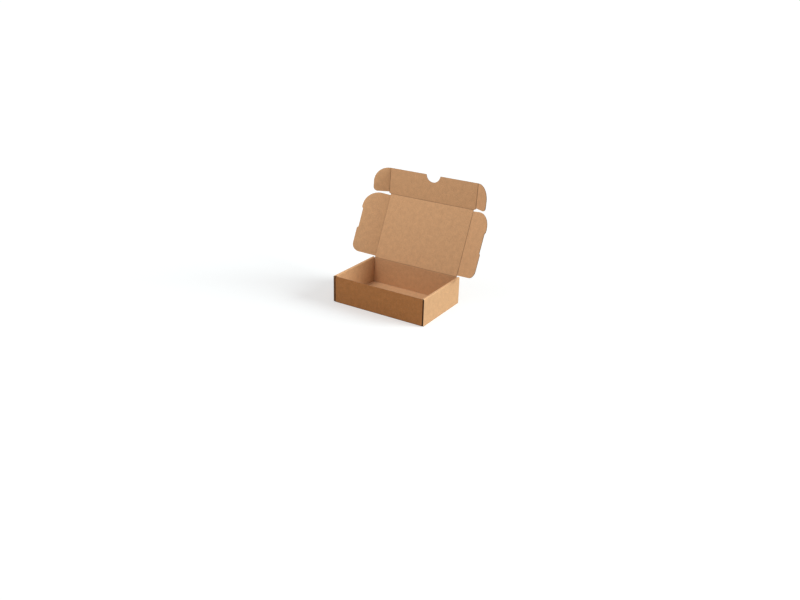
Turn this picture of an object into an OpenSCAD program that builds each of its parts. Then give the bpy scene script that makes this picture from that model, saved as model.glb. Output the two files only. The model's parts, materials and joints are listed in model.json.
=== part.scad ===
// Corrugated mailer box, folded from one die-cut sheet and shown with its lid open.
// The tray stands on z = 0 with its front towards -Y, and the lid is creased to its back wall.
// Each flap that moves in use is a part of its own, cut from the sheet along its crease.

/* [Board] */
// Thickness of the fine-flute board
board_t = 1.3; // [1.1:0.05:1.5]
// Inside radius of a tight fold
fold_r = 0.3; // [0.2:0.05:0.6]
// Gap between two layers that lie together
layer_gap = 0.1; // [0.05:0.05:0.2]
// Gap around the bead of a crease
crease_gap = 0.1; // [0.08:0.01:0.15]

/* [Tray] */
// Outside width, left to right
box_w = 210; // [190:1:300]
// Outside depth, front to back
box_d = 140; // [125:1:200]
// Outside height
box_h = 57; // [50:1:64]
// Room on each side of a tucked ear
ear_clear = 0.1; // [0.05:0.05:0.3]
// Room between the closed lid and the walls round it
lid_clear = 0.15; // [0.1:0.05:0.4]
// Length of the dust flaps inside the side walls
dust_len = 45; // [38:1:55]
// Cut at the free corners of a dust flap
dust_cut = 8; // [2:1:15]
// Gap above and below a dust flap
dust_gap = 1; // [0.5:0.1:2]
// Gap at each end of an inner side panel
panel_gap = 0.4; // [0.2:0.1:1]

/* [Locking tabs] */
// Width of a locking tab
tab_w = 24; // [12:1:34]
// Distance of each tab from the middle of the side
tab_y = 34; // [20:1:42]
// Cut at the lower corners of a tab
tab_cut = 0.7; // [0.2:0.1:1]
// Room round a tab in its slot
tab_clear = 0.15; // [0.1:0.05:0.4]

/* [Lid] */
// Opening of the lid from closed, in degrees
lid_open = 115; // [90:1:150]
// Depth of the corner steps beside the hinge
hinge_step = 0.3; // [0.2:0.1:1]

/* [Wings] */
// Width of a lid wing
wing_w = 53; // [30:0.5:53]
// Gap between the hinge and the rear edge of a wing
wing_rear = 3; // [3:0.5:10]
// Gap between the front crease and the front edge of a wing
wing_front = 3; // [2.5:0.5:8]
// Radius of the front outer corner
wing_front_r = 35; // [5:1:38]
// Radius of the rear outer corner
wing_rear_r = 16; // [3:1:20]
// Distance of the middle of the edge recess from the hinge
recess_u = 74.3; // [65:0.1:78]
// Length of the edge recess
recess_l = 45; // [15:1:50]
// Depth of the edge recess
recess_d = 2.8; // [1:0.1:5]
// Fold of the left wing, in degrees
left_wing_fold = 29; // [0:1:50]
// Fold of the right wing, in degrees
right_wing_fold = 26; // [0:1:50]

/* [Front flap] */
// Height of the front flap
flap_h = 54.5; // [44:0.5:54.5]
// Fold of the front flap, in degrees
flap_fold = 20; // [0:1:45]
// Height of the slant at the lower corners, beside the crease
flap_corner = 1.8; // [1.4:0.1:3]
// Radius of the thumb notch
notch_r = 16.5; // [8:0.5:20]
// Height of the centre of the notch above the free edge
notch_up = 1.7; // [0:0.1:4]
// Radius of the corners at the mouth of the notch
notch_round = 0.6; // [0.4:0.1:3]

/* [Ears] */
// Width of an ear
ear_w = 34.5; // [20:0.5:36]
// Gap between the front crease and the lower edge of an ear
ear_low = 4; // [3:0.1:8]
// Radius of the free outer corner
ear_r = 30; // [5:1:30]
// Radius of the lower outer corner
ear_low_r = 9; // [2:0.5:12]
// Fold of both ears, in degrees
ear_fold = 32; // [0:1:60]

/* [Hidden] */
$fn = 64;

kraft = [0.77, 0.6, 0.43];
half_w = box_w / 2;
half_d = box_d / 2;
half_t = board_t / 2;
bend_r = fold_r + board_t;
leg = 0.5; // straight board at each end of a fold
cut = 1; // how far a cutting shape runs past what it cuts

// side walls, from outside to inside: outer panel, ear slot, dust flap, inner panel
dust_x = half_w - board_t - (board_t + 2 * ear_clear);
inner_x = dust_x - board_t - layer_gap - board_t;
// front wall, set back so that the closed front flap lies flush with the side panels
front_y = -half_d + board_t + lid_clear;
wall_top = box_h - board_t - lid_clear;

// creases of the lid, all in the middle of the board
hinge_y = half_d - half_t;
hinge_z = box_h - half_t;
lid_len = box_d - board_t;
lid_half = inner_x - lid_clear - half_t;
flap_half = half_w - board_t - ear_clear - half_t;
crease_half = lid_half - hinge_step;

// a right-angled fold seen along its crease, from the +X side round to the +Y side, with a
// short straight leg at each end that lies in the panel there
module bend() {
    difference() {
        intersection() {
            circle(r = bend_r);
            square(bend_r);
        }
        circle(r = fold_r);
    }
    translate([fold_r, -leg]) square([board_t, leg]);
    translate([-leg, fold_r]) square([leg, board_t]);
}

// what a round corner leaves of a square one, for a corner at the origin with the panel at -X -Y
module corner_cut(r) {
    difference() {
        translate([-r, -r]) square(r + cut);
        translate([-r, -r]) circle(r = r);
    }
}

// a flat panel of board from its outline, in the middle of the crease plane
module board() {
    translate([0, 0, -half_t]) linear_extrude(board_t) children();
}

// a long shape along +Y from its section in X and Z
module along_y(y0, y1) {
    translate([0, y1, 0]) rotate([90, 0, 0]) linear_extrude(y1 - y0) children();
}

// room that a crease needs on its inner side (+Z) so that both panels can fold to a right angle
module crease_wedge() {
    side = board_t + cut;
    translate([0, -crease_gap]) polygon([[0, 0], [side, side], [-side, side]]);
}

// outline of one side wall: floor fold, outer panel, roll and inner panel, for the +X side
module side_roll() {
    translate([half_w - bend_r, box_h - bend_r]) bend();
    translate([inner_x + bend_r, box_h - board_t]) square([half_w - inner_x - 2 * bend_r, board_t]);
}

module side_wall() {
    // outer panel, which runs forward past the front wall
    along_y(-half_d, half_d)
        translate([half_w - board_t, bend_r]) square([board_t, box_h - 2 * bend_r]);
    along_y(front_y + bend_r, half_d - bend_r)
        translate([half_w - bend_r, bend_r]) mirror([0, 1]) bend();
    along_y(-half_d, half_d) side_roll();
    // inner panel with the tabs that lock it into the floor
    inner_y0 = front_y + board_t + panel_gap;
    inner_y1 = half_d - board_t - panel_gap;
    along_y(inner_y0, inner_y1)
        translate([inner_x + bend_r, box_h - bend_r]) mirror([1, 0]) bend();
    translate([inner_x, 0, 0]) rotate([90, 0, 90]) linear_extrude(board_t) {
        low = board_t + layer_gap;
        translate([inner_y0, low]) square([inner_y1 - inner_y0, box_h - bend_r - low]);
        for (y = [-tab_y, tab_y])
            translate([y, 0]) polygon([
                [-tab_w / 2, low], [-tab_w / 2, layer_gap + tab_cut],
                [-tab_w / 2 + tab_cut, layer_gap], [tab_w / 2 - tab_cut, layer_gap],
                [tab_w / 2, layer_gap + tab_cut], [tab_w / 2, low]
            ]);
    }
}

// floor with the slots for the locking tabs
module tray_floor() {
    y0 = front_y + bend_r;
    linear_extrude(board_t) difference() {
        translate([bend_r - half_w, y0]) square([box_w - 2 * bend_r, half_d - bend_r - y0]);
        for (side = [-1, 1], y = [-tab_y, tab_y])
            translate([side * (inner_x + half_t), y])
                square([board_t + 2 * tab_clear, tab_w + 2 * tab_clear], center = true);
    }
}

// dust flaps of an end wall whose outer face is at y = 0, with the wall at -Y of it
module dust_flap() {
    z0 = board_t + dust_gap;
    z1 = wall_top - dust_gap;
    translate([dust_x - bend_r, -bend_r, z0]) linear_extrude(z1 - z0) bend();
    translate([dust_x, -bend_r, 0]) rotate([90, 0, -90]) linear_extrude(board_t)
        polygon([
            [0, z0], [dust_len - dust_cut, z0], [dust_len, z0 + dust_cut],
            [dust_len, z1 - dust_cut], [dust_len - dust_cut, z1], [0, z1]
        ]);
}

// end wall with its floor fold and dust flaps, outer face at y = 0 and the tray at -Y of it
module end_wall() {
    wide = dust_x - bend_r;
    rotate([90, 0, 0]) linear_extrude(board_t)
        translate([-wide, bend_r]) square([2 * wide, wall_top - bend_r]);
    translate([-wide, -bend_r, bend_r]) rotate([90, 0, 90]) linear_extrude(2 * wide)
        mirror([0, 1]) bend();
    for (side = [0, 1]) mirror([side, 0, 0]) dust_flap();
}

// rounded top of the back wall, the bead that the lid turns on
module hinge_bead() {
    difference() {
        translate([-crease_half, half_d - board_t, wall_top - cut])
            cube([2 * crease_half, board_t, hinge_z - wall_top + cut]);
        translate([-crease_half - cut, hinge_y, hinge_z]) rotate([90, 0, 90])
            linear_extrude(2 * (crease_half + cut)) {
                rotate(90) crease_wedge();
                rotate(-90) crease_wedge();
            }
    }
    translate([-crease_half, hinge_y, hinge_z]) rotate([0, 90, 0])
        cylinder(r = half_t, h = 2 * crease_half);
}

module tray() {
    color(kraft) {
        tray_floor();
        for (side = [0, 1]) mirror([side, 0, 0]) side_wall();
        translate([0, front_y, 0]) mirror([0, 1, 0]) end_wall();
        translate([0, half_d, 0]) end_wall();
        hinge_bead();
    }
}

// places a panel that starts on the lid's hinge, with +Z towards the inside of the box
module on_lid() {
    translate([0, hinge_y, hinge_z]) rotate([180 - lid_open, 0, 0]) children();
}

module on_flap() {
    on_lid() translate([0, lid_len, 0]) rotate([flap_fold, 0, 0]) children();
}

// places a panel on the +X side crease at half, folded inwards, and mirrors it for the left side
module on_side(side, half, fold) {
    mirror([side < 0 ? 1 : 0, 0, 0]) translate([half, 0, 0]) rotate([0, -fold, 0]) children();
}

// clears the edge of a panel along the Y axis from y0 to y1 for the bead beside it
module clear_crease(y0, y1) {
    along_y(y0 - cut, y1 + cut) {
        circle(r = half_t + crease_gap);
        crease_wedge();
    }
}

// clears the edge of a panel along the X axis for the bead beside it
module clear_front_crease(half) {
    translate([-half - cut, 0, 0]) rotate([90, 0, 90]) linear_extrude(2 * (half + cut)) {
        circle(r = half_t + crease_gap);
        crease_wedge();
    }
}

module lid() {
    wing_y1 = lid_len - wing_front;
    color(kraft) on_lid() {
        difference() {
            union() {
                board() translate([-crease_half, 0]) square([2 * crease_half, lid_len]);
                board() translate([-lid_half, wing_rear])
                    square([2 * lid_half, wing_y1 - wing_rear]);
            }
            clear_front_crease(crease_half);
            // outer side of the hinge, which also opens past flat
            translate([-half_w, 0, 0]) rotate([90, 0, 90]) linear_extrude(box_w)
                mirror([0, 1]) crease_wedge();
            translate([0, lid_len, 0]) rotate([90, 0, 90])
                translate([0, 0, -half_w]) linear_extrude(box_w) crease_wedge();
            for (side = [-1, 1])
                translate([side * lid_half, 0, 0])
                    along_y(wing_rear - cut, wing_y1 + cut) crease_wedge();
        }
        translate([-crease_half, lid_len, 0]) rotate([0, 90, 0])
            cylinder(r = half_t, h = 2 * crease_half);
        for (side = [-1, 1])
            translate([side * lid_half, wing_rear, 0]) rotate([-90, 0, 0])
                cylinder(r = half_t, h = wing_y1 - wing_rear);
    }
}

// wing of the lid, with its crease along the Y axis
module wing() {
    y0 = wing_rear;
    y1 = lid_len - wing_front;
    difference() {
        board() difference() {
            translate([0, y0]) square([wing_w, y1 - y0]);
            translate([wing_w, y1]) corner_cut(wing_front_r);
            translate([wing_w, y0]) mirror([0, 1]) corner_cut(wing_rear_r);
            translate([wing_w, recess_u]) polygon([
                [cut, -recess_l / 2 - cut], [-recess_d, -recess_l / 2 + recess_d],
                [-recess_d, recess_l / 2 - recess_d], [cut, recess_l / 2 + cut]
            ]);
        }
        clear_crease(y0, y1);
    }
}

module left_wing() {
    color(kraft) on_lid() on_side(-1, lid_half, left_wing_fold) wing();
}

module right_wing() {
    color(kraft) on_lid() on_side(1, lid_half, right_wing_fold) wing();
}

// half-round thumb notch with rounded corners at its mouth
module thumb_notch() {
    mouth_y = -notch_round;
    mouth_x = sqrt(pow(notch_r + notch_round, 2) - pow(notch_up + notch_round, 2));
    translate([0, notch_up]) circle(r = notch_r);
    difference() {
        translate([-mouth_x, mouth_y * 0.9]) square([2 * mouth_x, cut - mouth_y * 0.9]);
        for (side = [-1, 1]) translate([side * mouth_x, mouth_y]) circle(r = notch_round);
    }
}

module front_flap() {
    color(kraft) on_flap() {
        difference() {
            board() difference() {
                polygon([
                    [-crease_half, 0], [crease_half, 0], [flap_half, flap_corner],
                    [flap_half, flap_h], [-flap_half, flap_h], [-flap_half, flap_corner]
                ]);
                translate([0, flap_h]) thumb_notch();
            }
            clear_front_crease(crease_half);
            for (side = [-1, 1])
                translate([side * flap_half, 0, 0]) along_y(0, flap_h + cut) crease_wedge();
        }
        for (side = [-1, 1])
            translate([side * flap_half, ear_low, 0]) rotate([-90, 0, 0])
                cylinder(r = half_t, h = flap_h - ear_low);
    }
}

// ear of the front flap, with its crease along the Y axis
module ear() {
    difference() {
        board() difference() {
            translate([0, ear_low]) square([ear_w, flap_h - ear_low]);
            translate([ear_w, flap_h]) corner_cut(ear_r);
            translate([ear_w, ear_low]) mirror([0, 1]) corner_cut(ear_low_r);
        }
        clear_crease(ear_low, flap_h);
    }
}

module left_ear() {
    color(kraft) on_flap() on_side(-1, flap_half, ear_fold) ear();
}

module right_ear() {
    color(kraft) on_flap() on_side(1, flap_half, ear_fold) ear();
}

tray();
lid();
left_wing();
right_wing();
front_flap();
left_ear();
right_ear();
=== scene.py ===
import json
import math
import random

import bmesh
import bpy
from mathutils import Matrix, Vector


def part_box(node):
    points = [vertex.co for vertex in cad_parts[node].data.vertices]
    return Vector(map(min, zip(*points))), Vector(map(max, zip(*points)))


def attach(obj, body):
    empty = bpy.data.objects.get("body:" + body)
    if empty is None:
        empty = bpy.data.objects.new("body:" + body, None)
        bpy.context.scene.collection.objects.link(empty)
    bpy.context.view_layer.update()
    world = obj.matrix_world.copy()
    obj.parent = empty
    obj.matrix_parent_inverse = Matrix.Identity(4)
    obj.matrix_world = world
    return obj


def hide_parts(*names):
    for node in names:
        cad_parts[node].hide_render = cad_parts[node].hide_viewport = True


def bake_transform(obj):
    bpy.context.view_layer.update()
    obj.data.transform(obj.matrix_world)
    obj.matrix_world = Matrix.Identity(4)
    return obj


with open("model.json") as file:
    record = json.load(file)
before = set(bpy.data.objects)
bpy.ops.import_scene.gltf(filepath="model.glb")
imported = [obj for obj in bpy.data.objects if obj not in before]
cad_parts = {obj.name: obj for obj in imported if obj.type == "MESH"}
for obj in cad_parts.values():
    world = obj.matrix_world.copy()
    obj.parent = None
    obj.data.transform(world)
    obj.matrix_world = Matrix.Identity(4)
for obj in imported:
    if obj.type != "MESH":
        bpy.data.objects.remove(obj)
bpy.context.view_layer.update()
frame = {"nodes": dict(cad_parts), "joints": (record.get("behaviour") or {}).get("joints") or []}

# Looks of an open mailer box, folded from one die-cut sheet of fine-flute board.
# Each panel is laid as real board: two liners with a fluted sheet between them.
mm = 0.001
right, back, up = Vector((1, 0, 0)), Vector((0, 1, 0)), Vector((0, 0, 1))
quarter = math.pi / 2
joints = {j["name"]: j for j in frame["joints"]}
random.seed(7)


# the frame's sizes

def creasePlace(name):
    return Vector(joints[name]["pos_m"])


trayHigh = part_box("tray")[1]
halfWide, halfDeep, boxHigh = trayHigh.x, trayHigh.y, trayHigh.z
hinge = creasePlace("lid_crease")
frontCrease = creasePlace("front_flap_crease")
halfBoard = halfDeep - hinge.y          # half the thickness of the board
boardThick = 2 * halfBoard
lidUp = Vector(joints["left_wing_crease"]["axis"])      # from the hinge to the front crease
flapUp = Vector(joints["left_ear_crease"]["axis"])      # from the front crease to the free edge
lidInside = right.cross(lidUp)
flapInside = right.cross(flapUp)
lidLong = (frontCrease - hinge).dot(lidUp)
lidHalf = creasePlace("right_wing_crease").x
flapHalf = creasePlace("right_ear_crease").x

board = {
    "liner": 0.17 * mm,
    "medium": 0.15 * mm,
    "pitch": 3.3 * mm,            # from one flute to the next
    "washboard": 0.034 * mm,      # how far the liners sink between the flute tips
    "tipCover": 0.6,              # share of a liner that stays outside the flute tips
    "stepsPerFlute": 12,
    "stepsPerFold": 8,
    "leastStep": 0.0002 * mm,     # steps nearer than this are taken as one
    "mediumInset": 0.18 * mm,     # the knife leaves the fluted sheet a little short
    "insetShare": 0.25,           # at most, of a narrow place
    "mediumJitter": 0.1 * mm,
    "arcStep": math.radians(6),
    "sharpAngle": math.radians(35),
}

crease = {
    "reach": 2.4 * mm,            # each crease strip reaches this far into both panels
    "bend": 1.0 * mm,             # and bends this far from its middle line
    "blendShare": 1.1,            # the bending goes on a little past that
    "score": 0.3 * mm,            # depth of the pressed line on the inside
    "scoreWide": 0.55 * mm,
    "swell": 0.06 * mm,           # how far the outside stands out behind it
    "crushed": 1.25,              # depth at which the fluted sheet starts, in liners
    "flatSteps": 4,
    "bendSteps": 12,
    "paperShift": (0.2, 0),       # a crease takes its paper from this part of the pattern
}

innerLiner, outerLiner, medium, cutEdge = 0, 1, 2, 3    # material slots of every piece
hair = 0.001 * mm                 # width of a step in an outline
tiny = 1e-9                       # lengths this near are taken as one
digits = 9                        # decimals that a length is rounded to


# mesh tools

def startPart():
    return {"points": [], "faces": [], "papers": [], "sheet": [], "score": []}


def addTube(part, rings, papers, capPaper):
    # rings hold (point, s, b, score) in a closed loop; papers gives the slot of each side
    first = len(part["points"])
    count = len(rings[0])
    for ring in rings:
        for point, s, b, score in ring:
            part["points"].append(point)
            part["sheet"].append((s, b))
            part["score"].append(score)
    for r in range(len(rings) - 1):
        for k in range(count):
            here = first + r * count + k
            beside = first + r * count + (k + 1) % count
            part["faces"].append((here, beside, beside + count, here + count))
            part["papers"].append(papers[k])
    last = first + (len(rings) - 1) * count
    part["faces"].append(tuple(range(first, first + count)))
    part["faces"].append(tuple(range(last, last + count)))
    part["papers"] += [capPaper, capPaper]


def finishPart(part, name, materials=None):
    mesh = bpy.data.meshes.new(name)
    mesh.from_pydata(part["points"], [], part["faces"])
    mesh.polygons.foreach_set("material_index", part["papers"])
    sheetMap = mesh.uv_layers.new(name="sheet")
    corners = [0.0] * (2 * len(mesh.loops))
    for i, loop in enumerate(mesh.loops):
        corners[2 * i], corners[2 * i + 1] = part["sheet"][loop.vertex_index]
    sheetMap.data.foreach_set("uv", corners)
    # the score holds pressed creases with their painted shade, painted slot shade, and rubbed folds with
    # a painted highlight
    score = mesh.attributes.new("score", "FLOAT", "POINT")
    score.data.foreach_set("value", part["score"])
    work = bmesh.new()
    work.from_mesh(mesh)
    bmesh.ops.recalc_face_normals(work, faces=work.faces)
    work.to_mesh(mesh)
    work.free()
    mesh.polygons.foreach_set("use_smooth", [True] * len(mesh.polygons))
    mesh.set_sharp_from_angle(angle=board["sharpAngle"])
    for material in materials or boardMaterials:
        mesh.materials.append(material)
    piece = bpy.data.objects.new(name, mesh)
    bpy.context.scene.collection.objects.link(piece)
    print("made", name, len(mesh.polygons), "faces")
    return piece


# A panel is laid in sheet coordinates: s across the flutes, b along them, n towards the inside.
# moves are (length, angle) stretches of the sheet, straight where the angle is 0.

def flatPanel(origin, across, along, inside):
    def place(s, b, n):
        return origin + across * s + along * b + inside * n
    return place


def curledPanel(origin, across, along, inside, size, curl):
    # bends away from flat towards its free edge; size is (wide, low, high) and
    # curl how far that edge moves inwards at the low and high ends
    wide, low, high = size

    def place(s, b, n):
        share = (b - low) / (high - low)
        lift = (curl[0] * (1 - share) + curl[1] * share) * (s / wide) ** 2
        return origin + across * s + along * b + inside * (n + lift)
    return place


def foldedPanel(origin, across, along, inside, heading, start, moves):
    # heading is the first direction, as an angle from across towards inside
    def place(s, b, n):
        x, y, turn, left = start[0], start[1], heading, s
        for length, angle in moves:
            step = min(left, length)
            bent = angle * step / length
            if angle:
                radius = length / angle
                x += radius * (math.sin(turn + bent) - math.sin(turn))
                y += radius * (math.cos(turn) - math.cos(turn + bent))
            else:
                x += math.cos(turn) * step
                y += math.sin(turn) * step
            turn += bent
            left -= step
            if left <= 0:
                break
        x -= math.sin(turn) * n
        y += math.cos(turn) * n
        return origin + across * x + inside * y + along * b
    return place


def flipped(place):
    def turned(s, b, n):
        return place(s, b, -n)
    return turned


def arcPoints(centre, radius, start, end):
    # from one angle to the other, in degrees, with 0 along s and 90 along b
    turns = max(2, math.ceil(abs(math.radians(end - start)) / board["arcStep"]))
    points = []
    for i in range(turns + 1):
        angle = math.radians(start + (end - start) * i / turns)
        points.append((centre[0] + radius * math.cos(angle), centre[1] + radius * math.sin(angle)))
    return points


def onLine(line, s):
    for (s0, b0), (s1, b1) in zip(line, line[1:]):
        if s <= s1:
            return b1 if s1 - s0 < tiny else b0 + (b1 - b0) * (s - s0) / (s1 - s0)
    return line[-1][1]


def stepsAlong(lower, upper, step, bends):
    s0, s1 = max(lower[0][0], upper[0][0]), min(lower[-1][0], upper[-1][0])
    stops = {round(s, digits) for s, b in lower + upper if s0 <= s <= s1}
    count = math.ceil((s1 - s0) / step)
    stops |= {round(s0 + (s1 - s0) * i / count, digits) for i in range(count + 1)}
    folds = board["stepsPerFold"]
    for start, end in bends:
        stops |= {round(start + (end - start) * i / folds, digits) for i in range(folds + 1)}
    kept = [s for s in sorted(stops) if s0 - tiny <= s <= s1 + tiny]
    return [s for i, s in enumerate(kept) if i == 0 or s - kept[i - 1] > board["leastStep"]]


def layBoard(part, place, lower, upper, shift=(0, 0), bends=(), scoreOf=None):
    # lower and upper are lines of (s, b) that bound the panel, both with rising s;
    # shift moves the pattern of the paper and the flutes
    linerMiddle = halfBoard - board["liner"] / 2
    waveHigh = halfBoard - board["liner"] - board["medium"] / 2
    fine = board["pitch"] / board["stepsPerFlute"]
    layers = (
        (innerLiner, 1, 2 * fine, board["liner"]),
        (outerLiner, -1, 2 * fine, board["liner"]),
        (medium, 0, fine, board["medium"]),
    )
    for paper, side, step, thick in layers:
        rings = []
        for s in stepsAlong(lower, upper, step, bends):
            low, high = onLine(lower, s), onLine(upper, s)
            phase = 2 * math.pi * (s + shift[0]) / board["pitch"]
            if side:
                sink = board["washboard"] * (0.5 - 0.5 * side * math.sin(phase))
                middle = side * (linerMiddle - sink)
                half = thick / 2
            else:
                middle = waveHigh * math.sin(phase)
                slope = waveHigh * 2 * math.pi / board["pitch"] * math.cos(phase)
                half = thick / 2 * math.sqrt(1 + slope * slope)
                half = min(half, halfBoard - board["liner"] * board["tipCover"] - abs(middle))
                inset = min(board["mediumInset"], (high - low) * board["insetShare"])
                low += inset + board["mediumJitter"] * random.random() * (inset > 0)
                high -= inset + board["mediumJitter"] * random.random() * (inset > 0)
            score = scoreOf(s, side) if scoreOf else 0.0
            ring = []
            for b, n in ((low, middle + half), (high, middle + half),
                         (high, middle - half), (low, middle - half)):
                ring.append((place(s, b, n), s + shift[0], b + shift[1], score))
            rings.append(ring)
        papers = (paper, cutEdge, paper, cutEdge) if side else (medium,) * 4
        addTube(part, rings, papers, cutEdge if side else medium)


def layFold(part, place, length, bend, b0, b1, shift=(0, 0), scored=0.0, acrossFlutes=False):
    # a strip of board with a fold over bend, in the middle of its length, from b0 to b1
    flat = (length - bend) / 2
    stops = [flat * i / crease["flatSteps"] for i in range(crease["flatSteps"])]
    stops += [flat + bend * i / crease["bendSteps"] for i in range(crease["bendSteps"])]
    stops += [length - flat * i / crease["flatSteps"] for i in range(crease["flatSteps"], -1, -1)]
    liner = board["liner"]
    crushed = crease["crushed"] * liner

    def pressed(s):
        return scored * math.exp(-((s - length / 2) / crease["scoreWide"]) ** 2)

    def top(s):
        return halfBoard - crease["score"] * pressed(s)

    def bottom(s):
        return -halfBoard - crease["swell"] * pressed(s)

    layers = (
        (innerLiner, top, lambda s: top(s) - liner),
        (outerLiner, lambda s: bottom(s) + liner, bottom),
        (medium, lambda s: top(s) - crushed, lambda s: bottom(s) + crushed),
    )
    for paper, high, low in layers:
        inset = 0 if paper != medium else board["mediumInset"]
        rings = []
        for b in (b0 + inset, b1 - inset):
            loop = [(s, high(s)) for s in stops] + [(s, low(s)) for s in reversed(stops)]
            ring = []
            for s, n in loop:
                sheet = (b + shift[0], s + shift[1]) if acrossFlutes else (s + shift[0], b + shift[1])
                # the pressed share also goes to the score, which paints shade along the crease
                ring.append((place(s, b, n), *sheet, pressed(s)))
            rings.append(ring)
        sides = [paper] * (len(stops) - 1) + [cutEdge] + [paper] * (len(stops) - 1) + [cutEdge]
        addTube(part, rings, sides, medium if paper == medium else cutEdge)


# materials: the effects are node groups, built once

def newGroup(name, inputs, outputs):
    group = bpy.data.node_groups.new(name, "ShaderNodeTree")
    for label, kind, value in inputs:
        socket = group.interface.new_socket(name=label, in_out="INPUT", socket_type=kind)
        if value is not None:
            socket.default_value = value
    for label, kind in outputs:
        group.interface.new_socket(name=label, in_out="OUTPUT", socket_type=kind)
    return group, group.nodes.new("NodeGroupInput"), group.nodes.new("NodeGroupOutput")


def addNode(tree, kind, settings=None, inputs=None):
    node = tree.nodes.new("ShaderNode" + kind)
    for key, value in (settings or {}).items():
        setattr(node, key, value)
    for key, value in (inputs or {}).items():
        if isinstance(value, bpy.types.NodeSocket):
            tree.links.new(value, node.inputs[key])
        else:
            node.inputs[key].default_value = value
    return node


def calculate(tree, operation, a, b=0.0):
    return addNode(tree, "Math", {"operation": operation}, {0: a, 1: b}).outputs[0]


noiseSpread = (0.3, 0.7)          # where most values of a noise lie


def stretch(tree, vector, scale):
    settings = {"operation": "MULTIPLY"}
    return addNode(tree, "VectorMath", settings, {0: vector, 1: scale}).outputs[0]


def mapRange(tree, value, low, high, newLow, newHigh):
    inputs = {"Value": value, "From Min": low, "From Max": high, "To Min": newLow, "To Max": newHigh}
    return addNode(tree, "MapRange", {}, inputs).outputs[0]


def noiseAt(tree, vector, scale, detail=2.0, roughness=0.5, output="Fac"):
    inputs = {"Vector": vector, "Scale": scale, "Detail": detail, "Roughness": roughness}
    return addNode(tree, "TexNoise", {"noise_dimensions": "2D"}, inputs).outputs[output]


def mixColour(tree, share, under, over):
    # a colour mix keeps its share in socket 0 and its colours in 6 and 7
    return addNode(tree, "Mix", {"data_type": "RGBA"}, {0: share, 6: under, 7: over}).outputs[2]


pulp = {
    "cloudSize": 9 * mm,
    "cloudDetail": (4.0, 0.6),            # detail and roughness of the noise
    "cloudHeight": 0.35,
    "mottle": 4.5,                        # how much finer the mottle is than the clouds
    "mottleDetail": (2.0, 0.6),
    "fibreLength": 2.2 * mm,
    "fibreDetail": (3.0, 0.65),
    "fibreShape": (1, 5, 1),
    "wanderScale": 300.0,
    "wander": 2.5 * mm,                   # how far the fibres stray from straight
    "fleckDetail": 1.0,
    "darkTurn": math.radians(24),
    "darkShape": (1, 4, 1),
    "darkScale": 1.7,
    "darkRange": (0.655, 0.74),           # above the first a fleck shows, at the second it is full
    "darkColour": (0.2, 0.1, 0.045, 1),
    "darkDepth": 0.4,
    "paleShape": (1.3, 6, 1),
    "paleScale": 1.1,
    "paleRange": (0.62, 0.76),
    "paleColour": (0.85, 0.66, 0.45, 1),
    "paleDepth": 0.22,
}


def makePulpGroup():
    # cloudy paper with fine fibres that lie across the flutes, and sparse dark and pale flecks
    group, given, result = newGroup("paper pulp", [
        ("Sheet", "NodeSocketVector", None),
        ("Cloud size", "NodeSocketFloat", pulp["cloudSize"]),
        ("Mottle", "NodeSocketFloat", 1.0),
        ("Fibre length", "NodeSocketFloat", pulp["fibreLength"]),
    ], [
        ("Cloud", "NodeSocketFloat"),
        ("Fibre", "NodeSocketFloat"),
        ("Dark fleck", "NodeSocketFloat"),
        ("Pale fleck", "NodeSocketFloat"),
        ("Height", "NodeSocketFloat"),
    ])
    sheet = given.outputs["Sheet"]
    cloudScale = calculate(group, "DIVIDE", 1.0, given.outputs["Cloud size"])
    fibreScale = calculate(group, "DIVIDE", 1.0, given.outputs["Fibre length"])
    cloud = noiseAt(group, sheet, cloudScale, *pulp["cloudDetail"])
    mottleScale = calculate(group, "MULTIPLY", cloudScale, pulp["mottle"])
    mottle = noiseAt(group, sheet, mottleScale, *pulp["mottleDetail"])
    mottle = calculate(group, "SUBTRACT", mottle, 0.5)
    mottle = calculate(group, "MULTIPLY", mottle, given.outputs["Mottle"])
    cloud = calculate(group, "ADD", cloud, mottle)
    stray = noiseAt(group, sheet, pulp["wanderScale"], output="Color")
    wander = addNode(group, "VectorMath", {"operation": "SCALE"}, {0: stray, "Scale": pulp["wander"]})
    strewn = addNode(group, "VectorMath", {"operation": "ADD"}, {0: sheet, 1: wander.outputs[0]})
    strewn = strewn.outputs[0]
    fibres = stretch(group, strewn, pulp["fibreShape"])
    fibre = noiseAt(group, fibres, fibreScale, *pulp["fibreDetail"])
    turned = addNode(group, "VectorRotate", {"rotation_type": "Z_AXIS"},
                     {"Vector": strewn, "Angle": pulp["darkTurn"]}).outputs[0]
    dark = noiseAt(group, stretch(group, turned, pulp["darkShape"]),
                   calculate(group, "MULTIPLY", fibreScale, pulp["darkScale"]), pulp["fleckDetail"])
    pale = noiseAt(group, stretch(group, strewn, pulp["paleShape"]),
                   calculate(group, "MULTIPLY", fibreScale, pulp["paleScale"]), pulp["fleckDetail"])
    height = calculate(group, "ADD", fibre, calculate(group, "MULTIPLY", cloud, pulp["cloudHeight"]))
    shown = {
        "Cloud": cloud,
        "Fibre": fibre,
        "Dark fleck": mapRange(group, dark, *pulp["darkRange"], 0, 1),
        "Pale fleck": mapRange(group, pale, *pulp["paleRange"], 0, 1),
        "Height": height,
    }
    for label, socket in shown.items():
        group.links.new(socket, result.inputs[label])
    return group


fluteLook = {
    "driftShape": (1, 0.25, 1),
    "driftScale": 70.0,
    "drift": 0.22,                        # how far a line strays, as a share of the pitch
    "patchShape": (1, 0.4, 1),
    "patchScale": 45.0,
    "patchDetail": 3.0,
    "faintest": 0.35,                     # strength of the lines where they fade out
}


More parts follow.
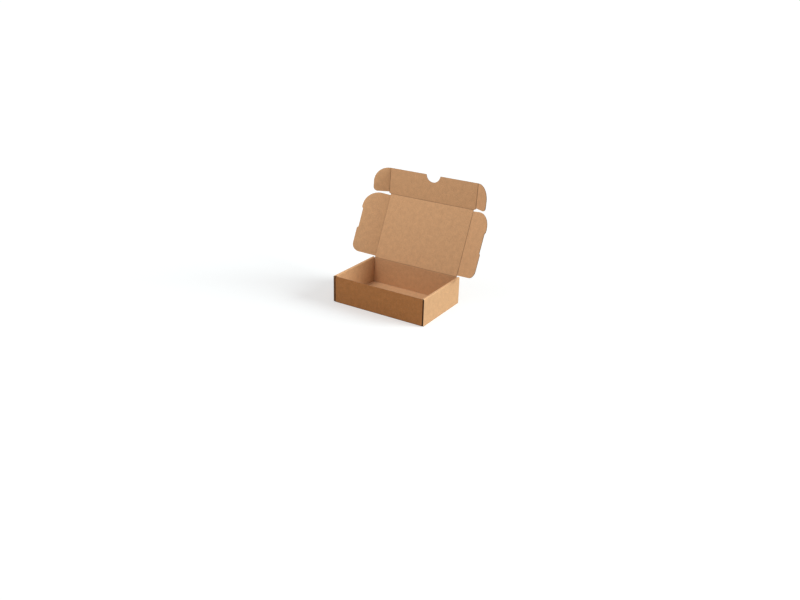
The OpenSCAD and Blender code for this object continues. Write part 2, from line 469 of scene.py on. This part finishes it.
def makeFluteShadeGroup():
    # faint lines at the pitch of the board, painted as the shade of the liner's washboard over the flute
    # tips
    group, given, result = newGroup("painted flute shade lines", [
        ("Sheet", "NodeSocketVector", None),
        ("Pitch", "NodeSocketFloat", board["pitch"]),
    ], [("Line", "NodeSocketFloat")])
    sheet = given.outputs["Sheet"]
    across = addNode(group, "SeparateXYZ", {}, {"Vector": sheet}).outputs["X"]
    drift = noiseAt(group, stretch(group, sheet, fluteLook["driftShape"]), fluteLook["driftScale"])
    turns = calculate(group, "DIVIDE", across, given.outputs["Pitch"])
    turns = calculate(group, "ADD", turns, calculate(group, "MULTIPLY", drift, fluteLook["drift"]))
    wave = calculate(group, "SINE", calculate(group, "MULTIPLY", turns, 2 * math.pi))
    patches = stretch(group, sheet, fluteLook["patchShape"])
    strength = noiseAt(group, patches, fluteLook["patchScale"], fluteLook["patchDetail"])
    strength = mapRange(group, strength, *noiseSpread, fluteLook["faintest"], 1.0)
    line = calculate(group, "MULTIPLY", wave, strength)
    group.links.new(mapRange(group, line, -1, 1, 0, 1), result.inputs["Line"])
    return group


def makeToneGroup():
    # puts clouds, fibres, flecks, painted flute shade lines and the score over a paper's own colour; the
    # score darkens with pressing and painted shade, or pales with rubbing and a painted highlight
    group, given, result = newGroup("board tone", [
        ("Paper", "NodeSocketColor", None),
        ("Cloud", "NodeSocketFloat", 0.5),
        ("Fibre", "NodeSocketFloat", 0.5),
        ("Dark fleck", "NodeSocketFloat", 0.0),
        ("Pale fleck", "NodeSocketFloat", 0.0),
        ("Line", "NodeSocketFloat", 0.5),
        ("Score", "NodeSocketFloat", 0.0),
        ("Cloud depth", "NodeSocketFloat", 0.1),
        ("Fibre depth", "NodeSocketFloat", 0.12),
        ("Line depth", "NodeSocketFloat", 0.05),
        ("Score depth", "NodeSocketFloat", 0.3),
    ], [("Colour", "NodeSocketColor")])

    def swing(value, depth):
        centred = calculate(group, "SUBTRACT", given.outputs[value], 0.5)
        return calculate(group, "MULTIPLY", centred, given.outputs[depth])

    level = calculate(group, "ADD", swing("Cloud", "Cloud depth"), swing("Fibre", "Fibre depth"))
    level = calculate(group, "ADD", level, swing("Line", "Line depth"))
    level = calculate(group, "ADD", level, 1.0)
    pressed = calculate(group, "MULTIPLY", given.outputs["Score"], given.outputs["Score depth"])
    level = calculate(group, "MULTIPLY", level, calculate(group, "SUBTRACT", 1.0, pressed))
    toned = addNode(group, "VectorMath", {"operation": "SCALE"},
                    {0: given.outputs["Paper"], "Scale": level}).outputs[0]
    darkShare = calculate(group, "MULTIPLY", given.outputs["Dark fleck"], pulp["darkDepth"])
    paleShare = calculate(group, "MULTIPLY", given.outputs["Pale fleck"], pulp["paleDepth"])
    darker = mixColour(group, darkShare, toned, pulp["darkColour"])
    paler = mixColour(group, paleShare, darker, pulp["paleColour"])
    group.links.new(paler, result.inputs["Colour"])
    return group


# scoreDepth is how strongly the score paints shade into creases and slots, and a highlight on rubbed
# folds
paperLooks = {
    "innerLiner": {"colour": (0.56, 0.316, 0.159), "rough": 0.88, "sheen": 0.05, "lineDepth": 0.06,
                   "cloudDepth": 0.3, "fibreDepth": 0.52, "scoreDepth": 0.42, "bump": 0.35},
    "outerLiner": {"colour": (0.51, 0.285, 0.139), "rough": 0.84, "sheen": 0.05, "lineDepth": 0.1,
                   "cloudDepth": 0.33, "fibreDepth": 0.54, "scoreDepth": 0.25, "bump": 0.3},
    # the front wall's outer liner is the same paper, painted darker and redder as the dim warm shade on
    # the front
    "frontLinerShaded": {"colour": (0.474, 0.193, 0.057), "rough": 0.84, "sheen": 0.05, "lineDepth": 0.17,
                   "cloudDepth": 0.4, "fibreDepth": 0.66, "scoreDepth": 0.25, "bump": 0.3},
    "medium": {"colour": (0.28, 0.145, 0.066), "rough": 0.95, "sheen": 0.0, "lineDepth": 0.0,
               "cloudDepth": 0.2, "fibreDepth": 0.3, "scoreDepth": 0.0, "bump": 0.4},
    "cutEdge": {"colour": (0.17, 0.078, 0.035), "rough": 0.95, "sheen": 0.0, "lineDepth": 0.0,
                "cloudDepth": 0.25, "fibreDepth": 0.4, "scoreDepth": 0.0, "bump": 0.5},
}
# raw edges at the corners of the tray, painted near-black as the shade in their narrow slots
paperLooks["cornerMedium"] = {**paperLooks["medium"], "colour": (0.06, 0.027, 0.012)}
paperLooks["cornerEdge"] = {**paperLooks["cutEdge"], "colour": (0.065, 0.03, 0.013)}

surface = {
    "specular": 0.3,
    "bumpHigh": 0.05 * mm,
    "rougher": 0.05,              # between the fibres
    "smoother": 0.07,             # on top of them
}


def makePaper(name, look):
    material = bpy.data.materials.new(name)
    material.use_nodes = True
    tree = material.node_tree
    shader = tree.nodes["Principled BSDF"]
    sheet = addNode(tree, "UVMap", {"uv_map": "sheet"}).outputs["UV"]
    paper = addNode(tree, "Group", {"node_tree": pulpGroup}, {"Sheet": sheet})
    flutes = addNode(tree, "Group", {"node_tree": fluteShadeGroup}, {"Sheet": sheet})
    tones = {label: paper.outputs[label] for label in ("Cloud", "Fibre", "Dark fleck", "Pale fleck")}
    tones["Line"] = flutes.outputs["Line"]
    tones["Score"] = addNode(tree, "Attribute", {"attribute_name": "score"}).outputs["Fac"]
    tones["Paper"] = (*look["colour"], 1)
    for label in ("Cloud", "Fibre", "Line", "Score"):
        tones[label + " depth"] = look[label.lower() + "Depth"]
    tone = addNode(tree, "Group", {"node_tree": toneGroup}, tones)
    tree.links.new(tone.outputs["Colour"], shader.inputs["Base Color"])
    rough = mapRange(tree, paper.outputs["Fibre"], *noiseSpread,
                     look["rough"] + surface["rougher"], look["rough"] - surface["smoother"])
    tree.links.new(rough, shader.inputs["Roughness"])
    shader.inputs["Specular IOR Level"].default_value = surface["specular"]
    shader.inputs["Sheen Weight"].default_value = look["sheen"]
    bump = addNode(tree, "Bump", {}, {"Strength": look["bump"], "Distance": surface["bumpHigh"],
                                      "Height": paper.outputs["Height"]})
    tree.links.new(bump.outputs["Normal"], shader.inputs["Normal"])
    return material


pulpGroup = makePulpGroup()
fluteShadeGroup = makeFluteShadeGroup()
toneGroup = makeToneGroup()
boardMaterials = [
    makePaper("kraft inner liner", paperLooks["innerLiner"]),
    makePaper("kraft outer liner", paperLooks["outerLiner"]),
    makePaper("fluted medium", paperLooks["medium"]),
    makePaper("cut edge of liner", paperLooks["cutEdge"]),
]
# the front wall takes the shaded copy of the outer liner
shadedFrontMaterials = list(boardMaterials)
shadedFrontMaterials[outerLiner] = makePaper("kraft outer liner in painted front shade", paperLooks["frontLinerShaded"])
# every raw edge of the floor and sides takes this painted corner shade
sideMaterials = list(boardMaterials)
sideMaterials[medium] = makePaper("fluted medium in painted corner shade", paperLooks["cornerMedium"])
sideMaterials[cutEdge] = makePaper("cut edge in painted corner shade", paperLooks["cornerEdge"])
print("materials ready")

# the tray

tray = {
    "insideRadius": 0.3 * mm,     # of a tight fold
    "layerGap": 0.1 * mm,
    "earClear": 0.1 * mm,
    "lidClear": 0.15 * mm,
    "dustLength": 45 * mm,
    "dustCut": 8 * mm,
    "dustGap": 1 * mm,
    "panelGap": 0.4 * mm,
    "tabWide": 24 * mm,
    "tabPlace": 34 * mm,          # from the middle of the side
    "tabCut": 0.7 * mm,
    "tabClear": 0.15 * mm,
    "foldShading": 0.35,            # how dark the inside of a fold is, pressed and in painted shade
    "foldRubAndHighlight": 0.3,               # and how pale its outside is, rubbed and with a painted highlight
    "slotShade": 3.6,             # how dark the painted shade in the slots at the corners is
    # these three are shares of a fold's length
    "slotRamp": 0.25,
    "slotFirst": 0.2,             # how far the shade reaches past the middle of the first fold
    "slotSecond": 0.45,           # and how far before the middle of the second it starts
    "bottomBend": 0.98,           # share of the bottom fold that bends
    # how deep the bottom fold is pressed; this also paints a dark line of contact shade along it
    "bottomScoreShade": 0.9,
}
outerRadius = tray["insideRadius"] + boardThick
foldLength = quarter * (tray["insideRadius"] + halfBoard)
dustOut = halfWide - boardThick - boardThick - 2 * tray["earClear"]
innerFace = dustOut - boardThick - tray["layerGap"] - boardThick
frontFace = -halfDeep + boardThick + tray["lidClear"]
wallTop = boxHigh - boardThick - tray["lidClear"]


def foldShading(bends, corners=None):
    # pressed and darker inside a fold, partly painted shade; rubbed and a little paler outside it,
    # partly a painted highlight;
    # past the corners the outside goes into a narrow slot, painted dark as its shade
    def scoreOf(s, side):
        if side < 0 and corners:
            past = max((corners[0] - s) / foldLength + tray["slotFirst"],
                       (s - corners[1]) / foldLength + tray["slotSecond"])
            if past > 0:
                return tray["slotShade"] * min(1, past / tray["slotRamp"])
        for start, end in bends:
            if start < s < end:
                hump = math.sin(math.pi * (s - start) / (end - start))
                return hump * (tray["foldShading"] if side > 0 else -tray["foldRubAndHighlight"])
        return 0.0
    return scoreOf


def makeFloorAndSides():
    part = startPart()
    low = boardThick + tray["layerGap"]
    innerLong = boxHigh - outerRadius - low
    rimLong = halfWide - innerFace - 2 * outerRadius
    sideLong = boxHigh - 2 * outerRadius
    floorLong = 2 * (halfWide - outerRadius)
    fold = (foldLength, quarter)
    moves = [(innerLong, 0), fold, (rimLong, 0), fold, (sideLong, 0), fold, (floorLong, 0),
             fold, (sideLong, 0), fold, (rimLong, 0), fold, (innerLong, 0)]
    ends, s = [], 0.0
    for length, turn in moves:
        s += length
        ends.append(s)
    bends = [(ends[i - 1], ends[i]) for i in range(1, len(moves), 2)]
    # where the sheet changes its width, and its far end
    rimStart, floorStart, floorEnd, rimEnd, total = (ends[i] for i in (1, 4, 7, 10, 12))
    start = (-(innerFace + halfBoard), low)
    place = foldedPanel(Vector(), right, back, up, quarter, start, moves)

    foldTone = foldShading(bends)

    def laySheet(first, last, front, rear):
        layBoard(part, place, [(first, front), (last, front)], [(first, rear), (last, rear)],
                 bends=bends, scoreOf=foldTone)

    # the inner panels with their folds, then the rims and outer panels, then the floor
    innerFront = frontFace + boardThick + tray["panelGap"]
    innerBack = halfDeep - boardThick - tray["panelGap"]
    floorFront, floorBack = frontFace + outerRadius, halfDeep - outerRadius
    laySheet(0, rimStart, innerFront, innerBack)
    laySheet(rimEnd, total, innerFront, innerBack)
    laySheet(rimStart, floorStart, -halfDeep, halfDeep)
    laySheet(floorEnd, rimEnd, -halfDeep, halfDeep)
    slotWide = boardThick + 2 * tray["tabClear"]
    slotHalf = tray["tabWide"] / 2 + tray["tabClear"]
    slotAt = innerFace + halfBoard
    middle = (bends[2][1] + bends[3][0]) / 2
    slots = [(middle + side * slotAt - slotWide / 2, middle + side * slotAt + slotWide / 2)
             for side in (-1, 1)]
    laySheet(floorStart, slots[0][0], floorFront, floorBack)
    laySheet(slots[0][1], slots[1][0], floorFront, floorBack)
    laySheet(slots[1][1], floorEnd, floorFront, floorBack)
    tabY = tray["tabPlace"]
    bridges = ((floorFront, -tabY - slotHalf), (-tabY + slotHalf, tabY - slotHalf),
               (tabY + slotHalf, floorBack))
    for first, last in slots:
        for b0, b1 in bridges:
            layBoard(part, place, [(first, b0), (last, b0)], [(first, b1), (last, b1)])
    # locking tabs, which go on past the ends of the inner panels
    tabLong = low - tray["layerGap"]
    half, cut = tray["tabWide"] / 2, tray["tabCut"]
    for s0, side in ((0.0, -1), (total, 1)):
        for y in (-tabY, tabY):
            tabPlace = flatPanel(Vector((side * slotAt, y, low)), -up, back, right * side)
            layBoard(part, tabPlace, [(0, -half), (tabLong - cut, -half), (tabLong, -half + cut)],
                     [(0, half), (tabLong - cut, half), (tabLong, half - cut)], shift=(s0, y))
    piece = finishPart(part, "floor_and_rolled_sides", sideMaterials)
    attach(piece, "tray")
    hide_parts("tray")


def makeEndWall(name, middle, across, inside, ownTop, raised, materials):
    # a front or back wall with a dust flap at each end, outer face at middle;
    # raised is half the width of the stretch that goes up to ownTop
    part = startPart()
    wallLong = 2 * (dustOut - outerRadius)
    flat = tray["dustLength"]
    fold = (foldLength, quarter)
    moves = [(flat, 0), fold, (wallLong, 0), fold, (flat, 0)]
    total = 2 * flat + 2 * foldLength + wallLong
    bends = [(flat, flat + foldLength), (total - flat - foldLength, total - flat)]
    start = (-(dustOut - halfBoard), outerRadius + flat)
    place = foldedPanel(middle, across, up, inside, -quarter, start, moves)
    z0, z1, cut = boardThick + tray["dustGap"], wallTop - tray["dustGap"], tray["dustCut"]
    w0, w1 = bends[0][1], bends[1][0]
    lower = [(0, z0 + cut), (cut, z0), (w0, z0), (w0 + hair, outerRadius), (w1 - hair, outerRadius),
             (w1, z0), (total - cut, z0), (total, z0 + cut)]
    upper = [(0, z1 - cut), (cut, z1), (w0, z1), (w0 + hair, wallTop)]
    if raised:
        centre = total / 2
        upper += [(centre - raised, wallTop), (centre - raised + hair, ownTop),
                  (centre + raised - hair, ownTop), (centre + raised, wallTop)]
    upper += [(w1 - hair, wallTop), (w1, z1), (total - cut, z1), (total, z1 - cut)]

    corners = (bends[0][0] + foldLength / 2, bends[1][0] + foldLength / 2)
    layBoard(part, place, lower, upper, bends=bends, scoreOf=foldShading(bends, corners))
    # the fold to the floor, which crosses the flutes
    half = dustOut - outerRadius
    foldPlace = foldedPanel(middle, inside, across, up, math.pi, (outerRadius, halfBoard),
                            [(foldLength, -quarter)])
    # the pressed bottom fold also paints a dark line of contact shade along the foot of the wall
    layFold(part, flipped(foldPlace), foldLength, foldLength * tray["bottomBend"], -half, half,
            scored=tray["bottomScoreShade"], acrossFlutes=True)
    piece = finishPart(part, name, materials)
    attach(piece, "tray")


lid = {"hingeStep": 0.3 * mm}     # its corners are stepped in by this much
hingeHalf = lidHalf - lid["hingeStep"]
reach = crease["reach"]
makeFloorAndSides()
makeEndWall("front_wall", Vector((0, frontFace, 0)), right, back, wallTop, 0, shadedFrontMaterials)
makeEndWall("back_wall", Vector((0, halfDeep, 0)), -right, -back, hinge.z - reach, hingeHalf,
            boardMaterials)


# the lid, its wings, the front flap and its ears

def spread(node, origin, along):
    # how far a node reaches along its crease, and how far and which way it lies from it
    spots, places = [], []
    for vertex in frame["nodes"][node].data.vertices:
        offset = vertex.co - origin
        b = offset.dot(along)
        places.append(b)
        spots.append(offset - along * b)
    most = max(spot.length for spot in spots)
    edge = 0.01 * mm              # the free edge is taken as this wide
    away = Vector()
    for spot in spots:
        if spot.length > most - edge:
            away += spot
    away.normalize()
    return min(places), max(places), max(spot.dot(away) for spot in spots), away


wing = {
    "frontRadius": 35 * mm,
    "rearRadius": 16 * mm,
    "recessPlace": 74.3 * mm,     # from the hinge to the middle of the edge recess
    "recessLength": 45 * mm,
    "recessDepth": 2.8 * mm,
    "paperShift": (0.11, 0.3),
    # how far the free edge has curled inwards, at its rear and front ends
    "curls": {"left_wing": (0.9 * mm, -0.5 * mm), "right_wing": (1.0 * mm, -0.5 * mm)},
}


def makeWing(name, side):
    origin = creasePlace(name + "_crease")
    low, high, wide, away = spread(name, origin, lidUp)
    inside = away.cross(lidUp) if side > 0 else lidUp.cross(away)
    place = curledPanel(origin, away, lidUp, inside, (wide, low, high), wing["curls"][name])
    shift = (lidHalf + wing["paperShift"][0] * side, wing["paperShift"][1])
    part = startPart()
    frontRadius, rearRadius, deep = wing["frontRadius"], wing["rearRadius"], wing["recessDepth"]
    shoulder = wide - deep
    rearArc = arcPoints((wide - rearRadius, low + rearRadius), rearRadius, -90, 0)
    frontArc = arcPoints((wide - frontRadius, high - frontRadius), frontRadius, 90, 0)
    rearAt = low + rearRadius - math.sqrt(rearRadius ** 2 - (rearRadius - deep) ** 2)
    frontAt = high - frontRadius + math.sqrt(frontRadius ** 2 - (frontRadius - deep) ** 2)
    lower = [(reach, low)] + [p for p in rearArc if p[0] < shoulder] + [(shoulder, rearAt)]
    upper = [(reach, high)] + [p for p in frontArc if p[0] < shoulder] + [(shoulder, frontAt)]
    layBoard(part, place, lower, upper, shift)
    # the edge on both sides of the recess
    recessRear = wing["recessPlace"] - wing["recessLength"] / 2
    recessFront = wing["recessPlace"] + wing["recessLength"] / 2
    last = wide - hair
    rearEdge = [p for p in rearArc if shoulder < p[0] < last]
    frontEdge = [p for p in frontArc if shoulder < p[0] < last]
    layBoard(part, place, [(shoulder, rearAt), *rearEdge, (last, low + rearRadius)],
             [(shoulder, recessRear + deep), (last, recessRear)], shift)
    layBoard(part, place, [(shoulder, recessFront - deep), (last, recessFront)],
             [(shoulder, frontAt), *frontEdge, (last, high - frontRadius)], shift)
    piece = finishPart(part, name + "_board")
    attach(piece, name)
    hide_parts(name)
    return origin, low, high, away


ear = {
    "topRadius": 30 * mm,
    "lowRadius": 9 * mm,
    "paperShift": (0.13, 0.5),
    # how far the free edge has curled inwards, at its lower and upper ends
    "curls": {"left_ear": (0.7 * mm, -0.3 * mm), "right_ear": (0.2 * mm, -0.7 * mm)},
}


def makeEar(name, side):
    origin = creasePlace(name + "_crease")
    low, high, wide, away = spread(name, origin, flapUp)
    inside = away.cross(flapUp) if side > 0 else flapUp.cross(away)
    place = curledPanel(origin, away, flapUp, inside, (wide, low, high), ear["curls"][name])
    part = startPart()
    topRadius, lowRadius = ear["topRadius"], ear["lowRadius"]
    last = wide - hair
    lowArc = arcPoints((wide - lowRadius, low + lowRadius), lowRadius, -90, 0)
    topArc = arcPoints((wide - topRadius, high - topRadius), topRadius, 90, 0)
    lower = [(reach, low)] + [p for p in lowArc if p[0] < last] + [(last, low + lowRadius)]
    upper = [(reach, high)] + [p for p in topArc if p[0] < last] + [(last, high - topRadius)]
    layBoard(part, place, lower, upper, (flapHalf + ear["paperShift"][0] * side, ear["paperShift"][1]))
    piece = finishPart(part, name + "_board")
    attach(piece, name)
    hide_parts(name)
    return origin, low, high, away


def makeLid():
    part = startPart()
    place = flatPanel(hinge, right, lidUp, lidInside)
    inner = lidHalf - reach
    near, far = reach, lidLong - reach
    layBoard(part, place, [(-inner, near), (inner, near)], [(-inner, far), (inner, far)])
    # small corners beside the ends of the wings
    wingLow, wingHigh = spread("left_wing", creasePlace("left_wing_crease"), lidUp)[:2]
    for side in (-1, 1):
        s0, s1 = sorted((side * inner, side * hingeHalf))
        for b0, b1 in ((near, wingLow), (wingHigh, far)):
            layBoard(part, place, [(s0, b0), (s1, b0)], [(s0, b1), (s1, b1)])
    piece = finishPart(part, "lid_board")
    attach(piece, "lid")
    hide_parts("lid")


flap = {
    "notchRadius": 16.5 * mm,
    "notchUp": 1.7 * mm,          # the notch's centre lies this far above the free edge
    "notchRound": 0.6 * mm,
    "corner": 1.8 * mm,           # height of the slant at the lower corners
    "paperShift": (0, 0.5),
}


def makeFrontFlap(earLow, high):
    part = startPart()
    place = flatPanel(frontCrease, right, flapUp, flapInside)
    inner = flapHalf - reach
    radius, lift, soft = flap["notchRadius"], flap["notchUp"], flap["notchRound"]
    mouth = math.sqrt((radius + soft) ** 2 - (lift + soft) ** 2)
    lean = math.degrees(math.asin((lift + soft) / (radius + soft)))
    slant = flap["corner"] / (flapHalf - hingeHalf)

    def slanted(s):
        return slant * (s - hingeHalf)

    lower = [(-inner, slanted(inner)), (-hingeHalf - hair, slanted(hingeHalf + hair)),
             (-hingeHalf, reach), (hingeHalf, reach),
             (hingeHalf + hair, slanted(hingeHalf + hair)), (inner, slanted(inner))]
    notch = arcPoints((-mouth, high - soft), soft, 90, lean)
    notch += arcPoints((0, high + lift), radius, 180 + lean, 360 - lean)
    notch += arcPoints((mouth, high - soft), soft, 180 - lean, 90)
    layBoard(part, place, lower, [(-inner, high), *notch, (inner, high)], flap["paperShift"])
    # small corners below the ears
    for side in (-1, 1):
        outline = [(inner, slanted(inner)), (flapHalf, slanted(flapHalf))]
        level = [(inner, earLow), (flapHalf, earLow)]
        if side < 0:
            outline = [(-s, b) for s, b in reversed(outline)]
            level = [(-s, b) for s, b in reversed(level)]
        layBoard(part, place, outline, level, flap["paperShift"])
    piece = finishPart(part, "front_flap_board")
    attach(piece, "front_flap")
    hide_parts("front_flap")


# how deep each crease is pressed, and how dark the painted shade along its line is
pressAndShadeDepths = {
    "left_wing_crease": 0.7,
    "right_wing_crease": 1.6,
    "left_ear_crease": 1.4,
    "right_ear_crease": 2.0,
    "hinge_crease": 1.0,
    "front_crease": 1.2,
}


def makeCrease(name, origin, fromParent, toChild, along, inside, b0, b1, acrossFlutes):
    # a strip over the crease, bent as far as the child is turned at rest
    turn = math.atan2(toChild.dot(inside), toChild.dot(fromParent))
    tangent = crease["bend"]
    bendLength = 2 * tangent * (turn / 2) / math.tan(turn / 2)
    flat = reach - tangent
    moves = [(flat, 0), (bendLength, turn), (flat, 0)]
    place = foldedPanel(origin, fromParent, along, inside, 0.0, (-reach, 0.0), moves)
    part = startPart()
    layFold(part, place, 2 * flat + bendLength, bendLength, b0, b1, crease["paperShift"],
            pressAndShadeDepths[name], acrossFlutes)
    piece = finishPart(part, name)
    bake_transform(piece)


makeLid()
for name, side in (("left_wing", -1), ("right_wing", 1)):
    origin, low, high, away = makeWing(name, side)
    makeCrease(name + "_crease", origin, right * side, away, lidUp, lidInside,
               low, high, False)
for name, side in (("left_ear", -1), ("right_ear", 1)):
    origin, low, high, away = makeEar(name, side)
    makeCrease(name + "_crease", origin, right * side, away, flapUp, flapInside,
               low, high, False)
makeFrontFlap(low, high)          # which reaches as far up as the ears do
makeCrease("hinge_crease", hinge, up, lidUp, right, -back, -hingeHalf, hingeHalf, True)
makeCrease("front_crease", frontCrease, lidUp, flapUp, right, lidInside,
           -hingeHalf, hingeHalf, True)
print("box folded")

# floor, light and camera

studio = {
    "floorSize": 60.0,
    "floorColour": (0.55, 0.47, 0.4, 1),  # what the box sees of it
    "floorSeen": (0.65, 0.65, 0.65, 1),
    "floorGlow": 0.5,
    "white": (1, 1, 1, 1),
    "skyLight": 0.35,
}


def whiteForCamera(tree):
    # 1 for rays that should see the white ground: camera, glossy and transmission rays
    path = tree.nodes.new("ShaderNodeLightPath")
    seen = calculate(tree, "MAXIMUM", path.outputs["Is Camera Ray"], path.outputs["Is Glossy Ray"])
    return calculate(tree, "MAXIMUM", seen, path.outputs["Is Transmission Ray"])


def makeFloor():
    half = studio["floorSize"] / 2
    mesh = bpy.data.meshes.new("studio_floor")
    corners = [(-half, -half, 0), (half, -half, 0), (half, half, 0), (-half, half, 0)]
    mesh.from_pydata(corners, [], [(0, 1, 2, 3)])
    floor = bpy.data.objects.new("studio_floor", mesh)
    bpy.context.scene.collection.objects.link(floor)
    material = bpy.data.materials.new("pale floor")
    material.use_nodes = True
    tree = material.node_tree
    tree.nodes.clear()
    matte = addNode(tree, "BsdfDiffuse", {}, {"Color": studio["floorColour"]})
    seen = addNode(tree, "BsdfDiffuse", {}, {"Color": studio["floorSeen"]})
    glow = addNode(tree, "Emission", {}, {"Color": studio["white"], "Strength": studio["floorGlow"]})
    both = addNode(tree, "AddShader", {}, {0: seen.outputs[0], 1: glow.outputs[0]})
    choice = addNode(tree, "MixShader", {}, {0: whiteForCamera(tree), 1: matte.outputs[0],
                                             2: both.outputs[0]})
    output = tree.nodes.new("ShaderNodeOutputMaterial")
    tree.links.new(choice.outputs[0], output.inputs["Surface"])
    mesh.materials.append(material)
    return floor


def makeWorld():
    world = bpy.data.worlds.new("studio")
    bpy.context.scene.world = world
    world.use_nodes = True
    tree = world.node_tree
    tree.nodes.clear()
    light = addNode(tree, "Background", {}, {"Color": studio["white"], "Strength": studio["skyLight"]})
    white = addNode(tree, "Background", {}, {"Color": studio["white"], "Strength": 1.0})
    choice = addNode(tree, "MixShader", {}, {0: whiteForCamera(tree), 1: light.outputs[0],
                                             2: white.outputs[0]})
    output = tree.nodes.new("ShaderNodeOutputWorld")
    tree.links.new(choice.outputs[0], output.inputs["Surface"])


# each lamp's light comes from its place, which for a sun gives only the direction
lamps = {
    "sideLamp": {"kind": "SUN", "place": (1, 0.4, 0.5), "spread": 35, "power": 4.0,
                 "colour": (0.9, 0.985, 1)},
    "fillLamp": {"kind": "SUN", "place": (-0.6, -0.7, 1), "spread": 50, "power": 0.3,
                 "colour": (1, 0.98, 0.95)},
    "boomLamp": {"kind": "AREA", "place": (-0.22, -0.3, 0.88), "size": 0.45, "power": 5.0,
                 "colour": (1, 1, 1)},
}
lampsAim = Vector((0, 0, 0.1))


def makeLamp(name, settings, floor):
    data = bpy.data.lights.new(name, settings["kind"])
    data.energy = settings["power"]
    data.color = settings["colour"]
    if settings["kind"] == "SUN":
        data.angle = math.radians(settings["spread"])
    else:
        data.shape = "SQUARE"
        data.size = settings["size"]
    lamp = bpy.data.objects.new(name, data)
    lamp.location = settings["place"]
    lamp.rotation_euler = (lampsAim - lamp.location).to_track_quat("-Z", "Y").to_euler()
    bpy.context.scene.collection.objects.link(lamp)
    if settings["kind"] == "AREA":
        # the near lamp leaves no bright pool on the floor
        unlit = bpy.data.collections.new(name + "_unlit")
        unlit.objects.link(floor)
        lamp.light_linking.receiver_collection = unlit
        unlit.collection_objects[0].light_linking.link_state = "EXCLUDE"


view = {
    "place": (781.4 * mm, -1260.8 * mm, 644.1 * mm),
    "yaw": 31.49,                 # turned left from the +Y direction, in degrees
    "pitch": 23.28,               # looking down
    "roll": 1.57,
    "lens": 35.855,
    "nearest": 0.05,
    "farthest": 60.0,
}


def makeCamera():
    yaw, pitch, roll = (math.radians(view[key]) for key in ("yaw", "pitch", "roll"))
    ahead = Vector((-math.sin(yaw) * math.cos(pitch), math.cos(yaw) * math.cos(pitch), -math.sin(pitch)))
    level = Vector((math.cos(yaw), math.sin(yaw), 0))
    upright = level.cross(ahead)
    sideways = level * math.cos(roll) + upright * math.sin(roll)
    upward = upright * math.cos(roll) - level * math.sin(roll)
    data = bpy.data.cameras.new("camera")
    data.lens = view["lens"]
    data.clip_start, data.clip_end = view["nearest"], view["farthest"]
    camera = bpy.data.objects.new("camera", data)
    turn = Matrix((sideways, upward, -ahead)).transposed().to_4x4()
    camera.matrix_world = Matrix.Translation(view["place"]) @ turn
    bpy.context.scene.collection.objects.link(camera)
    bpy.context.scene.camera = camera


floor = makeFloor()
makeWorld()
for name, settings in lamps.items():
    makeLamp(name, settings, floor)
makeCamera()
bpy.context.scene.view_settings.view_transform = "Standard"
print("studio ready")
